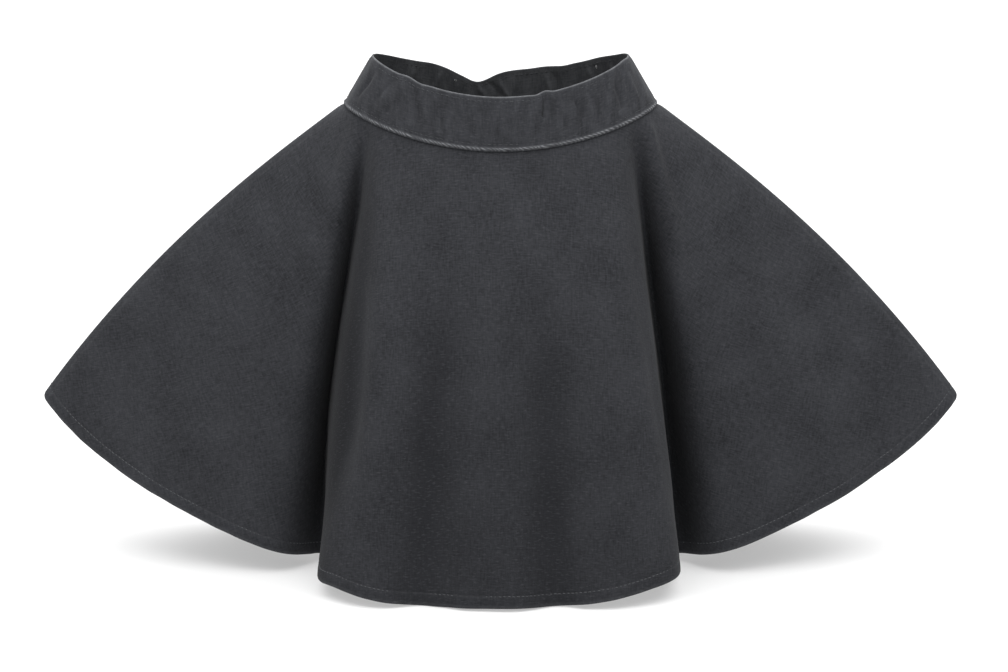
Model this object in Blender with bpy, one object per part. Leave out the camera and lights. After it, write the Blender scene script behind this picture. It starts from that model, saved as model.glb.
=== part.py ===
"""A girl's A-line skirt of washed charcoal cotton, filled out as if worn, with nobody in it.

Four sewn pieces, each a thin wall of its own: skirt front, skirt back, waistband front and
waistband back. Metres, +Z up, and the skirt's front faces -Y. The origin is in the middle of
the waist opening, level with the middle of the waistband at its side seams.
"""

import math

import bmesh
import bpy
import numpy as np

MM = 0.001

# The waistband, measured on the outside of the skirt's cloth that it is sewn to.
TOP_HALF_WIDTH = 95.0 * MM
TOP_HALF_DEPTH = 59.0 * MM
SEAM_HALF_WIDTH = 116.0 * MM
SEAM_HALF_DEPTH = 70.0 * MM
BAND_RISE = 36.0 * MM
BAND_LENGTH = 41.0 * MM

# Both edges of the band dip at the middle of the front and of the back.
FRONT_TOP_DIP = 22.5 * MM
BACK_TOP_DIP = 20.0 * MM
SEAM_DIP = 24.0 * MM

# The drawn-in back edge buckles at one place, a little left of the middle.
BUCKLE_TURN = 102.0
BUCKLE_SPREAD = 10.0
BUCKLE_DEPTH = 10.0 * MM

# Cloth thicknesses, and the gap that neighbouring pieces keep.
SKIRT_WALL = 1.2 * MM
BAND_WALL = 1.8 * MM
HEM_WALL = 2.2 * MM
HEM_TURN_UP = 8.0 * MM
BAND_LAP = 8.0 * MM
GAP = 0.3 * MM

# From the waist seam to the hem, along the cloth, and the step where the turned-up hem ends.
SKIRT_LENGTH = 333.0 * MM
HEM_STEP = 1.0 * MM

# A tuck grows slowly from the waist seam, at this power of the way down, and is deepest at about 0.44
# of the way. The peak number makes it the tuck's own depth there.
TUCK_START = 1.6
TUCK_PEAK = 11.87

# How finely each wall is divided.
STEPS_PER_STATION = 3
SKIRT_ROWS = 14
BAND_ROWS = 2

CHARCOAL = (0.050, 0.054, 0.061, 1.0)
CLOTH_ROUGHNESS = 0.92

# Half of each panel, from its middle to the side seam, one row for each place round the skirt.
# turn: where the place starts on the waist seam, in degrees from the panel's middle.
# across, out and drop: where its hem lies, in mm from the origin, sideways, forward and down.
# bow: how far the cloth swells outward half way down, in mm.
# tuck: how far the fold draws it straight back a little above half way down, in mm.
STATION_COLUMNS = ("turn", "across", "out", "drop", "bow", "tuck")
FRONT_STATIONS = {
    "middle":       (0.0, 0.0, 168.5, 361.0, 8.0, 0.0),
    "trough":       (14.0, 44.0, 158.5, 363.0, 6.0, 0.0),
    "panel":        (28.0, 83.0, 162.0, 358.5, 8.0, 0.0),
    "panel_side":   (40.5, 115.0, 150.0, 352.5, 7.0, -1.0),
    "panel_corner": (48.0, 134.5, 132.0, 348.0, 4.0, -2.0),
    "fold_wall":    (52.0, 134.5, 92.0, 352.5, 3.0, 6.0),
    "fold_foot":    (55.5, 137.0, 30.0, 366.5, 0.0, 19.0),
    "fold_inner":   (58.5, 145.0, 34.0, 365.5, 0.0, 18.0),
    "wing_root":    (62.5, 158.0, 74.0, 351.5, 2.0, 3.0),
    "wing_inner":   (68.0, 186.0, 75.0, 342.0, 6.0, 1.0),
    "wing_middle":  (75.0, 228.0, 62.0, 325.5, 9.0, 0.0),
    "wing_outer":   (81.5, 279.0, 42.0, 302.0, 12.0, 0.0),
    "wing_side":    (86.5, 332.0, 16.0, 269.0, 14.0, 0.0),
    "side_seam":    (90.0, 362.0, 0.0, 230.5, 14.5, 0.0),
}
BACK_STATIONS = {
    "middle":       (0.0, 0.0, 160.0, 360.0, 8.0, 0.0),
    "trough":       (13.0, 39.0, 152.5, 361.0, 6.0, 0.0),
    "panel":        (27.0, 78.0, 158.0, 356.0, 8.0, 0.0),
    "panel_side":   (39.0, 108.0, 147.0, 352.0, 7.0, -1.0),
    "panel_corner": (46.5, 128.0, 129.0, 347.5, 4.0, -2.0),
    "fold_wall":    (51.0, 127.0, 92.0, 352.0, 3.0, 6.0),
    "fold_foot":    (54.5, 130.0, 34.0, 365.0, 0.0, 18.0),
    "fold_inner":   (57.5, 138.0, 38.0, 364.0, 0.0, 17.0),
    "wing_root":    (62.0, 151.0, 75.0, 353.0, 2.0, 3.0),
    "wing_inner":   (68.0, 180.0, 75.0, 345.0, 6.0, 1.0),
    "wing_middle":  (75.0, 224.0, 61.0, 330.0, 9.0, 0.0),
    "wing_outer":   (81.5, 278.0, 42.0, 304.0, 13.0, 0.0),
    "wing_side":    (86.5, 332.0, 16.0, 269.0, 14.0, 0.0),
    "side_seam":    (90.0, 362.0, 0.0, 230.5, 14.5, 0.0),
}


def ring_of_stations():
    """The stations of both panels in one closed ring, from the left side seam round the front."""
    front = [dict(zip(STATION_COLUMNS, row)) for row in FRONT_STATIONS.values()]
    back = [dict(zip(STATION_COLUMNS, row)) for row in BACK_STATIONS.values()]
    rows = [station_row(station, -90.0, -1, -1) for station in front[:0:-1]]
    rows += [station_row(station, -90.0, 1, -1) for station in front[:-1]]
    rows += [station_row(station, 90.0, -1, 1) for station in back[:0:-1]]
    rows += [station_row(station, 90.0, 1, 1) for station in back[:-1]]
    return np.array(rows)


def station_row(station, middle, way, face):
    """One place on the ring: its turn round the waist, its hem point, its bow and its tuck.

    middle is the turn of the panel's middle, way is -1 before it and 1 after it, and face is
    -1 on the front panel and 1 on the back panel.
    """
    turn = middle + way * station["turn"]
    across = -way * face * station["across"] * MM
    out = face * station["out"] * MM
    return (turn, across, out, -station["drop"] * MM, station["bow"] * MM, face * station["tuck"] * MM)


RING = ring_of_stations()
QUARTER = len(RING) // 4


def smooth_ring(place):
    """The ring's values at a place counted in stations, on a smooth closed curve."""
    base = math.floor(place)
    part = place - base
    weights = (
        (1 - part) ** 3 / 6,
        (3 * part ** 3 - 6 * part ** 2 + 4) / 6,
        (-3 * part ** 3 + 3 * part ** 2 + 3 * part + 1) / 6,
        part ** 3 / 6,
    )
    total = np.zeros(RING.shape[1])
    for offset, weight in zip((-1, 0, 1, 2), weights):
        laps, index = divmod(base + offset, len(RING))
        row = RING[index].copy()
        row[0] += 360.0 * laps
        total += weight * row
    return total


def buckle(turn):
    """How far the buckled place lowers the band's top edge at a turn."""
    away = (turn - BUCKLE_TURN + 180.0) % 360.0 - 180.0
    return BUCKLE_DEPTH * math.exp(-(away / BUCKLE_SPREAD) ** 2)


def band_point(turn, down):
    """A point of the face that the band lies on: turn in degrees, down from 0 (top) to 1 (seam)."""
    angle = math.radians(turn)
    half_width = TOP_HALF_WIDTH + (SEAM_HALF_WIDTH - TOP_HALF_WIDTH) * down
    half_depth = TOP_HALF_DEPTH + (SEAM_HALF_DEPTH - TOP_HALF_DEPTH) * down
    top_dip = FRONT_TOP_DIP if math.sin(angle) < 0 else BACK_TOP_DIP
    dip = (top_dip + (SEAM_DIP - top_dip) * down) * math.sin(angle) ** 2
    height = BAND_RISE * (0.5 - down) - dip - buckle(turn) * (1 - down)
    return np.array([half_width * math.cos(angle), half_depth * math.sin(angle), height])


def skirt_point(place, down):
    """A point of the skirt's outside: place in stations, down from 0 (seam) to 1 (hem).

    Below 0 it runs up behind the waistband.
    """
    turn, across, out, height, bow, tuck = smooth_ring(place)
    if down < 0:
        return band_point(turn, 1 + down)
    start = band_point(turn, 1.0)
    end = np.array([across, out, height])
    chord = end - start
    chord_length = np.linalg.norm(chord)
    along = chord / chord_length
    outward = np.array([math.cos(math.radians(turn)), math.sin(math.radians(turn)), 0.0])
    swell = outward - along * outward.dot(along)
    swell /= np.linalg.norm(swell)
    point = start + chord * down + swell * bow * 4 * down * (1 - down)
    point[1] -= tuck * TUCK_PEAK * down ** TUCK_START * (1 - down) ** 2
    return point


def surface_normals(point_at, places, downs):
    """Outward unit normals of a surface at each place and down, by small differences."""
    step = 1e-4
    normals = np.zeros((len(downs), len(places), 3))
    for i, down in enumerate(downs):
        for j, place in enumerate(places):
            across = point_at(place + step, down) - point_at(place - step, down)
            lower = point_at(place, down + step) - point_at(place, down - step)
            normal = np.cross(lower, across)
            normals[i, j] = normal / np.linalg.norm(normal)
    return normals


def surface_points(point_at, places, downs):
    """A grid of surface points, one row for each down."""
    return np.array([[point_at(place, down) for place in places] for down in downs])


def pull_back_sides(points):
    """Move the first and last column in by half a gap, so that the side seams stay apart."""
    points = points.copy()
    for edge, inner in ((0, 1), (-1, -2)):
        toward = points[:, inner] - points[:, edge]
        toward /= np.linalg.norm(toward, axis=1)[:, None]
        points[:, edge] += toward * GAP / 2
    return points


def wall_object(name, outer, inner, material):
    """A closed wall between two grids of points, as an object."""
    rows, columns = outer.shape[:2]
    mesh_builder = bmesh.new()
    outer_verts = [[mesh_builder.verts.new(outer[i, j]) for j in range(columns)] for i in range(rows)]
    inner_verts = [[mesh_builder.verts.new(inner[i, j]) for j in range(columns)] for i in range(rows)]
    for i in range(rows - 1):
        for j in range(columns - 1):
            add_quad(mesh_builder, outer_verts, i, j, i + 1, j + 1)
            add_quad(mesh_builder, inner_verts, i + 1, j, i, j + 1)
    for i in range(rows - 1):
        join_edge(mesh_builder, outer_verts, inner_verts, (i + 1, 0), (i, 0))
        join_edge(mesh_builder, outer_verts, inner_verts, (i, columns - 1), (i + 1, columns - 1))
    for j in range(columns - 1):
        join_edge(mesh_builder, outer_verts, inner_verts, (0, j), (0, j + 1))
        join_edge(mesh_builder, outer_verts, inner_verts, (rows - 1, j + 1), (rows - 1, j))
    bmesh.ops.recalc_face_normals(mesh_builder, faces=mesh_builder.faces)
    mesh = bpy.data.meshes.new(name)
    mesh_builder.to_mesh(mesh)
    mesh_builder.free()
    mesh.shade_smooth()
    mesh.set_sharp_from_angle(angle=math.radians(50))
    mesh.materials.append(material)
    wall = bpy.data.objects.new(name, mesh)
    bpy.context.scene.collection.objects.link(wall)
    return wall


def add_quad(mesh_builder, verts, top, left, bottom, right):
    """One face between two rows and two columns of a grid."""
    corners = (verts[top][left], verts[bottom][left], verts[bottom][right], verts[top][right])
    mesh_builder.faces.new(corners)


def join_edge(mesh_builder, outer_verts, inner_verts, start, end):
    """One face across the thickness of a wall, along its edge."""
    corners = (outer_verts[start[0]][start[1]], outer_verts[end[0]][end[1]],
               inner_verts[end[0]][end[1]], inner_verts[start[0]][start[1]])
    mesh_builder.faces.new(corners)


def cloth_material(name, colour):
    """A matt cloth finish."""
    material = bpy.data.materials.new(name)
    material.use_nodes = True
    shader = material.node_tree.nodes["Principled BSDF"]
    shader.inputs["Base Color"].default_value = colour
    shader.inputs["Roughness"].default_value = CLOTH_ROUGHNESS
    shader.inputs["Metallic"].default_value = 0.0
    return material


def skirt_rows():
    """How far down each row of a skirt panel lies, and its thickness, from band to hem."""
    hem_top = 1 - HEM_TURN_UP / SKIRT_LENGTH
    step_top = hem_top - HEM_STEP / SKIRT_LENGTH
    rows = [(-BAND_LAP / BAND_LENGTH, SKIRT_WALL)]
    rows += [(step_top * k / SKIRT_ROWS, SKIRT_WALL) for k in range(SKIRT_ROWS + 1)]
    return rows + [(hem_top, HEM_WALL), (1.0, HEM_WALL)]


def half_of_places(first_place):
    """The places of a wall's columns, from one side seam to the other."""
    columns = 2 * QUARTER * STEPS_PER_STATION
    return [first_place + k / STEPS_PER_STATION for k in range(columns + 1)]


def skirt_panel(name, first_place, material):
    """Half of the skirt, from one side seam to the other, as a thin wall."""
    places = half_of_places(first_place)
    downs = [down for down, thickness in skirt_rows()]
    thicknesses = np.array([thickness for down, thickness in skirt_rows()])
    outer = surface_points(skirt_point, places, downs)
    normals = surface_normals(skirt_point, places, downs)
    inner = outer - normals * thicknesses[:, None, None]
    return wall_object(name, pull_back_sides(outer), pull_back_sides(inner), material)


def band_half(name, first_place, material):
    """Half of the waistband, lapped over the outside of the skirt's top edge."""
    turns = [smooth_ring(place)[0] for place in half_of_places(first_place)]
    downs = [k / BAND_ROWS for k in range(BAND_ROWS + 1)]
    base = surface_points(band_point, turns, downs)
    normals = surface_normals(band_point, turns, downs)
    inner = base + normals * GAP
    outer = base + normals * (GAP + BAND_WALL)
    return wall_object(name, pull_back_sides(outer), pull_back_sides(inner), material)


def clear_scene():
    """Remove whatever the scene holds."""
    for thing in list(bpy.data.objects):
        bpy.data.objects.remove(thing, do_unlink=True)


def build():
    """Make the four pieces."""
    clear_scene()
    cloth = cloth_material("charcoal_cotton", CHARCOAL)
    skirt_panel("skirt_front", 0, cloth)
    skirt_panel("skirt_back", 2 * QUARTER, cloth)
    band_half("waistband_front", 0, cloth)
    band_half("waistband_back", 2 * QUARTER, cloth)


build()
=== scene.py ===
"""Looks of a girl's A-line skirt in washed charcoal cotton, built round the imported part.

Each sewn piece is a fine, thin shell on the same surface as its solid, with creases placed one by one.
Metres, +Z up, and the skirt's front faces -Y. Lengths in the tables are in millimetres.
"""

import math

import bpy
import numpy as np
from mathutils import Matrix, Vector


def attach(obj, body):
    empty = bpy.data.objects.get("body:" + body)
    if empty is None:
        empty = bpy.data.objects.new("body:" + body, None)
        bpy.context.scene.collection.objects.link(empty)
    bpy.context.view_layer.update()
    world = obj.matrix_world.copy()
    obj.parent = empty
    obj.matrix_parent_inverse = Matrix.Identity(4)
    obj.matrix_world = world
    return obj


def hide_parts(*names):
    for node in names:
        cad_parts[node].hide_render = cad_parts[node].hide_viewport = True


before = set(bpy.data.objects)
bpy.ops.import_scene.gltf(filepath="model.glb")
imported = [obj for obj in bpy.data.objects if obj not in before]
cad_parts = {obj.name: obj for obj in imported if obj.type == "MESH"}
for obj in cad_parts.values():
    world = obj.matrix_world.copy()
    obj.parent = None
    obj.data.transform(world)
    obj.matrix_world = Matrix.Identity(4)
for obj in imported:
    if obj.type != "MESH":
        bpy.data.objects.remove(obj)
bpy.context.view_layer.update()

MM = 0.001

# The waistband and the cut of the skirt, as in the part.
TOP_HALF_WIDTH = 95 * MM
TOP_HALF_DEPTH = 59 * MM
SEAM_HALF_WIDTH = 116 * MM
SEAM_HALF_DEPTH = 70 * MM
BAND_RISE = 36 * MM
BAND_LENGTH = 41 * MM
FRONT_TOP_DIP = 22.5 * MM
BACK_TOP_DIP = 20 * MM
SEAM_DIP = 24 * MM
BUCKLE_TURN = 102.0
BUCKLE_SPREAD = 10.0
BUCKLE_DEPTH = 10 * MM
GAP = 0.3 * MM
BAND_LAP = 8 * MM
HEM_TURN_UP = 8 * MM
SKIRT_LENGTH = 333 * MM

# A tuck grows slowly from the waist seam, at this power of the way down, and is deepest at about 0.44
# of the way. The peak number makes it the tuck's own depth there.
TUCK_START = 1.6
TUCK_PEAK = 11.87

# Thicknesses of the shells, and the hair's breadth between them at the side seams, too narrow for
# light to show through. The hem's turning sets in over HEM_STEP_WIDTH.
SIDE_SEAM_GAP = 0.04 * MM
HEM_STEP_WIDTH = 1.2 * MM
SKIRT_CLOTH = 1.1 * MM
HEM_CLOTH = 2.1 * MM
BAND_CLOTH = 1.7 * MM
BAND_TOP_CLOTH = 1.1 * MM
BAND_TOP_ZONE = 4 * MM

# Half of each panel, from its middle to the side seam, one row for each place round the skirt.
# turn: where the place starts on the waist seam, in degrees from the panel's middle.
# across, out and drop: where its hem lies, in mm from the origin, sideways, forward and down.
# bow: how far the cloth swells outward half way down, in mm.
# tuck: how far the fold draws it straight back a little above half way down, in mm.
STATION_COLUMNS = ("turn", "across", "out", "drop", "bow", "tuck")
FRONT_STATIONS = {
    "middle":       (0, 0, 168.5, 361, 8, 0),
    "trough":       (14, 44, 158.5, 363, 6, 0),
    "panel":        (28, 83, 162, 358.5, 8, 0),
    "panel_side":   (40.5, 115, 150, 352.5, 7, -1),
    "panel_corner": (48, 134.5, 132, 348, 4, -2),
    "fold_wall":    (52, 134.5, 92, 352.5, 3, 6),
    "fold_foot":    (55.5, 137, 30, 366.5, 0, 19),
    "fold_inner":   (58.5, 145, 34, 365.5, 0, 18),
    "wing_root":    (62.5, 158, 74, 351.5, 2, 3),
    "wing_inner":   (68, 186, 75, 342, 6, 1),
    "wing_middle":  (75, 228, 62, 325.5, 9, 0),
    "wing_outer":   (81.5, 279, 42, 302, 12, 0),
    "wing_side":    (86.5, 332, 16, 269, 14, 0),
    "side_seam":    (90, 362, 0, 230.5, 14.5, 0),
}
BACK_STATIONS = {
    "middle":       (0, 0, 160, 360, 8, 0),
    "trough":       (13, 39, 152.5, 361, 6, 0),
    "panel":        (27, 78, 158, 356, 8, 0),
    "panel_side":   (39, 108, 147, 352, 7, -1),
    "panel_corner": (46.5, 128, 129, 347.5, 4, -2),
    "fold_wall":    (51, 127, 92, 352, 3, 6),
    "fold_foot":    (54.5, 130, 34, 365, 0, 18),
    "fold_inner":   (57.5, 138, 38, 364, 0, 17),
    "wing_root":    (62, 151, 75, 353, 2, 3),
    "wing_inner":   (68, 180, 75, 345, 6, 1),
    "wing_middle":  (75, 224, 61, 330, 9, 0),
    "wing_outer":   (81.5, 278, 42, 304, 13, 0),
    "wing_side":    (86.5, 332, 16, 269, 14, 0),
    "side_seam":    (90, 362, 0, 230.5, 14.5, 0),
}

# Soft pushes of the whole cloth. place: where in stations from the panel's middle, to the right as
# one faces the panel. down: how far down, from 0 at the band to 1 at the hem. right, forward and
# lower: how far the cloth moves, in mm.
PUSH_COLUMNS = ("place", "place_spread", "down", "down_spread", "right", "forward", "lower")
FRONT_PUSHES = {
    "left panel edge": (-3.7, 1, 0.64, 0.27, 7.5, -2, 0),
    "left fold":       (-5.9, 1.3, 0.62, 0.34, -7, 0, 0),
    "left hem corner": (-4.2, 0.6, 1, 0.2, -2.6, 0, 3.4),
    "left hem":        (-2.8, 1.3, 1, 0.3, 0, 0, 1.8),
    "right hem":       (2.8, 1.3, 1, 0.3, 0, 0, -1.8),
    "left foot":       (-6.5, 1.2, 1, 0.22, 5, 0, -7),
    "right foot":      (6.5, 1.2, 1, 0.22, -5, 0, -7),
    "left wing root":  (-6.5, 0.8, 1, 0.12, 0, 10, -1),
    "right wing root": (6.5, 0.8, 1, 0.12, 0, 10, -1),
}
BACK_PUSHES = {
    "right panel edge": (4, 0.9, 0.5, 0.28, -2, -3.5, 0),
    "left panel edge":  (-4.6, 2, 0.34, 0.3, 3, -1, 0),
    "left foot":        (-6.5, 1.1, 1, 0.22, 0, 0, -2.5),
    "right foot":       (6.5, 1.1, 1, 0.22, 0, 0, -2.5),
    "left hem":         (-2.6, 1.4, 1, 0.3, 0, 0, -1.4),
    "right hem":        (2.7, 1.4, 1, 0.3, 0, 0, 1.4),
}

# Soft creases. from_place and to_place: where a crease starts and ends, counted from the panel's
# middle, in stations on the skirt and in degrees on the waistband. from_down and to_down: from 0 at
# the top to 1 at the lower edge. width: in mm. depth: how deep it lies, in mm, or how far it stands
# out where it is negative.
CREASE_COLUMNS = ("from_place", "to_place", "from_down", "to_down", "width", "depth")
FRONT_SKIRT_CREASES = {
    "left trough":        (-1, -1.45, 0.3, 1, 20, 9.5),
    "left trough fork":   (-1.25, -0.9, 0.6, 1, 8, 1.8),
    "right trough":       (0.85, 0.95, 0.32, 1, 16, 8.5),
    "middle hollow":      (0.05, 0.15, 0.3, 0.86, 26, 2.2),
    "left panel roll":    (-4, -4, 0.02, 0.95, 15, 5),
    "left panel hollow":  (-3.05, -3.2, 0.02, 0.4, 11, 1.6),
    "right panel roll":   (3.9, 3.9, 0.02, 0.9, 12, 3.5),
    "right panel hollow": (2.8, 2.95, 0.4, 0.95, 12, 1.2),
    "left wing ridge":    (-8.7, -8.6, -0.06, 0.34, 7, -2.4),
    "right wing ridge":   (8.75, 8.7, -0.08, 0.36, 6, -4.2),
    "right wing hollow":  (9.45, 9.15, 0.06, 0.5, 9, 1.5),
    "left wing hollow":   (-9.6, -9.3, 0.25, 0.85, 16, 1.4),
    "left wing wave":     (-10.6, -10.8, 0.35, 1, 24, -1.8),
    "right wing wave":    (10.4, 10.6, 0.4, 1, 22, -1.8),
    "right wing dip":     (11.3, 11.2, 0.45, 1, 20, 1.5),
}
BACK_SKIRT_CREASES = {
    "left trough":      (-0.9, -1.05, 0.34, 1, 17, 8),
    "right trough":     (1, 1.4, 0.3, 1, 20, 9),
    "middle hollow":    (-0.1, 0.1, 0.28, 0.8, 24, 2),
    "left panel roll":  (-3.9, -3.95, 0.02, 0.9, 12, 3.5),
    "right panel roll": (4, 3.95, 0.02, 0.95, 14, 4.5),
    "left wing ridge":  (-8.7, -8.65, 0.02, 0.36, 8, -2.4),
    "right wing ridge": (8.75, 8.6, 0.02, 0.3, 8, -1.8),
    "left wing wave":   (-10.5, -10.6, 0.38, 1, 22, -1.8),
    "right wing wave":  (10.6, 10.8, 0.36, 1, 24, -1.8),
}
FRONT_BAND_CREASES = {
    "left slant":        (-53, -59, 0.02, 0.8, 3.2, 1.3),
    "left slant crest":  (-45, -50, 0.05, 0.7, 3.4, -0.7),
    "left side gather":  (-68, -73, 0.05, 0.9, 3, 1.6),
    "left low gather":   (-51, -46, 0.4, 1, 2.8, 1.5),
    "left gather":       (-36, -33, 0.25, 1, 3, 1.5),
    "left crest":        (-31, -29, 0.1, 0.95, 3.2, -1),
    "left mid gather":   (-25, -22, 0.35, 1, 2.6, 1.3),
    "middle gather":     (-12, -10, 0.2, 1, 2.8, 1.2),
    "middle crest":      (-5, -4, 0.25, 1, 3.2, -0.9),
    "right mid gather":  (5, 6, 0.35, 1, 2.6, 1.1),
    "right bump crease": (19, 17, 0, 0.55, 1.9, 2.2),
    "right bump crest":  (22, 21, 0, 0.5, 2, -1.4),
    "right gather":      (32, 34, 0.06, 0.8, 2.6, 1.9),
    "right crest":       (37, 38, 0.1, 0.8, 2.6, -1.2),
    "right low gather":  (28, 25, 0.45, 1, 2.4, 1.3),
    "right side gather": (57, 53, 0.15, 0.95, 3, 1.8),
    "right side crest":  (68, 66, 0.05, 0.85, 3, -1.2),
}
BACK_BAND_CREASES = {
    "notch crease":     (10.5, 4, 0, 0.75, 2.2, 2),
    "notch crest":      (6, -2, 0.02, 0.6, 2, -1.2),
    "second crease":    (1.5, -5, 0.05, 0.7, 2, 1.4),
    "left gather":      (28, 30, 0.02, 0.7, 2.2, 1.4),
    "left far gather":  (44, 41, 0.02, 0.8, 2.4, 1.6),
    "right gather":     (-21, -22, 0, 0.95, 1.8, 2.1),
    "right crest":      (-25, -26, 0.02, 0.8, 2.2, -1.3),
    "right far gather": (-43, -45, 0.02, 0.8, 2.4, 1.8),
    "right end gather": (-58, -60, 0.02, 0.7, 2.6, 1.3),
}

# Bumps of the waistband's top edge. turn: from the panel's middle, in degrees. rise: in mm.
BUMP_COLUMNS = ("turn", "spread", "rise")
FRONT_BUMPS = {
    "left bump":  (-45.5, 4.5, 1.3),
    "left dip":   (-38, 3, -0.6),
    "right bump": (20, 2.6, 1.5),
    "right dip":  (15.5, 2.2, -0.5),
    "right end":  (72, 6, 0.8),
}
BACK_BUMPS = {
    "notch lip":      (16.5, 4, 1.2),
    "left wave":      (34, 7, 0.7),
    "right wave":     (-20, 6, 0.8),
    "right dip":      (-31, 4, -0.6),
    "far right wave": (-52, 7, 0.7),
}

# How the creases wander, where they fade out, and where the cloth lies calm: beside the side seams,
# and over the first share of the way down from the waistband.
CREASE_WANDER = 0.14
CREASE_FADE = 0.35
SIDE_CALM = 14 * MM
WAIST_CALM = 0.04

# The hem's corners at the side seams are rounded off.
TIP_RADIUS = 6.5 * MM
TIP_ROWS = 9
TIP_FADE = 7

# The worn ridge along the waistband's lower edge, twisted like a rope by its stitches. Its grooves
# keep RIDGE_GROOVES of its height.
RIDGE_ZONE = 6 * MM
RIDGE_CENTRE = 0.95 * MM
RIDGE_SPREAD = 0.8 * MM
RIDGE_HEIGHT = 0.75 * MM
RIDGE_TWIST = 3.5 * MM
RIDGE_SLANT = 1.6
RIDGE_GROOVES = 0.45
STRAND_SHARPNESS = 1.3

# The side seams are pressed to one side, which leaves a low ridge beside each.
SEAM_RIDGE_WIDTH = 6.5 * MM
SEAM_RIDGE_HEIGHT = 0.25 * MM
SEAM_RIDGE_FALL = 2 * MM
SEAM_GROOVE_WIDTH = 1.6 * MM
SEAM_GROOVE_DEPTH = 0.5 * MM

# The hips stand out a little more than the solid just below the waistband, at the side seams.
HIP_SWELL = 1.8 * MM
HIP_SWELL_START = 0.015
HIP_SWELL_END = 0.12
HIP_SWELL_SPREAD = 45 * MM

# Small unevenness: long waves of the cloth, and dips and puckers beside the stitches. Near its lower
# edge the band lies calmer, and it sinks no deeper than BAND_SINK, or BAND_TOUCH over the skirt.
CLOTH_WAVE_LENGTH = 46 * MM
CLOTH_WAVE_HEIGHT = 0.35 * MM
BAND_WAVE_LENGTH = 13 * MM
BAND_WAVE_HEIGHT = 0.32 * MM
BAND_WAVE_STRETCH = 0.4
BAND_SEAM_CALM = 0.6
BAND_CALM_REACH = 9 * MM
BAND_SINK = 3 * MM
BAND_TOUCH = 0.05 * MM
HEM_ROLL_HEIGHT = 0.12 * MM
HEM_DIP_DEPTH = 0.35 * MM
HEM_DIP_WIDTH = 1.3 * MM
HEM_PUCKER_LENGTH = 15 * MM
HEM_PUCKER_HEIGHT = 0.3 * MM
HEM_PUCKER_REACH = 15 * MM
BAND_PUCKER_LENGTH = 9 * MM
BAND_PUCKER_HEIGHT = 0.18 * MM
BAND_PUCKER_UP = 7 * MM
BAND_PUCKER_REACH = 4 * MM
STITCH_DIP = 0.16 * MM
STITCH_DIP_WIDTH = 0.9 * MM

# Stitches: how far apart they start, how much of that each covers, and how thick the thread is.
# They sink by up to STITCH_SUNK into the cloth, deeper and shallower in turns along STITCH_SWING.
HEM_STITCH_PITCH = 3.3 * MM
BAND_STITCH_PITCH = 4 * MM
STITCH_SHOWN = 0.72
STITCH_TILT = 0.25 * MM
STITCH_END_GAP = 1.5 * MM
STITCH_SWING = 21 * MM
STITCH_SUNK = 0.6 * MM
THREAD_RADIUS = 0.27 * MM
THREAD_SIDES = 6
THREAD_RINGS = 5
TOP_STITCH_DOWN = 3.5 * MM
SEAM_STITCH_UP = 4.4 * MM
TACK_LENGTH = 5 * MM

# Bars of thread inside the back waistband, each of three strands a small step apart. across: from
# its middle, to the left as the camera sees it, in mm. from_down and to_down: as for the creases.
TACK_STRAND_STEP = 0.45
TACK_COLUMNS = ("across", "from_down", "to_down")
TACKS = {
    "by the notch": (38, 0.1, 0.19),
    "right":        (-76, 0.08, 0.22),
    "far right":    (-96, 0.16, 0.26),
}

# How finely each shell is divided.
SKIRT_STEPS_PER_STATION = 12
SIDE_STEPS = 28
BAND_STEPS_PER_STATION = 24
SKIRT_ROW_STEP = 3.4 * MM
EDGE_ROW_STEP = 1 * MM
EDGE_ZONE = 13 * MM
BAND_UPPER_ROWS = 32
BAND_RIDGE_ROWS = 15
EDGE_ANGLES = (35.0, 65.0)

# The radius of a skirt panel's waist edge on its flat cut.
WAIST_RADIUS = 131 * MM

# The inner side reads its threads this far along the pattern, so that they differ from the outside.
INNER_CLOTH_SHIFT = (0.5, 0.25)

# Cloth colours, as the share of light that the cloth gives back.
DARK_CHARCOAL = (0.0134, 0.014, 0.016)
CHARCOAL = (0.044, 0.0455, 0.0512)
FLECK_GREY = (0.078, 0.081, 0.088)
WORN_GREY = (0.185, 0.19, 0.2)
HEM_THREAD_GREY = (0.07, 0.073, 0.079)
BAND_THREAD_GREY = (0.036, 0.038, 0.042)
TACK_GREY = (0.32, 0.32, 0.325)
CLOTH_ROUGHNESS = 0.92
CLOTH_SPECULAR = 0.1
CLOTH_SHEEN = 0.04
SHEEN_ROUGHNESS = 0.5
THREAD_ROUGHNESS = 0.8
TACK_ROUGHNESS = 0.7
FLOOR_ROUGHNESS = 0.9

# The weave, in mm. Flecks show where a noise rises through FLECK_PEAKS.
THREAD_WIDTH = 1.25
SLUB_LENGTH = 7.0
WEFT_SLUB = 0.8
GRAIN_SIZE = 0.8
THREAD_RELIEF = 0.4
GRAIN_RELIEF = 0.3
WEAVE_STRENGTH = 0.5
WEAVE_RELIEF = 0.35 * MM
FLECK_SIZE = (3.4, 1.2)
FLECK_PEAKS = (0.56, 0.76)
FLECK_SHARE = 0.26

# Wear comes in patches of this size, in mm. WEAR_BREAK: what a patch adds, and what is always there.
WEAR_PATCH = 5.0
WEAR_BREAK = (0.7, 0.55)

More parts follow.
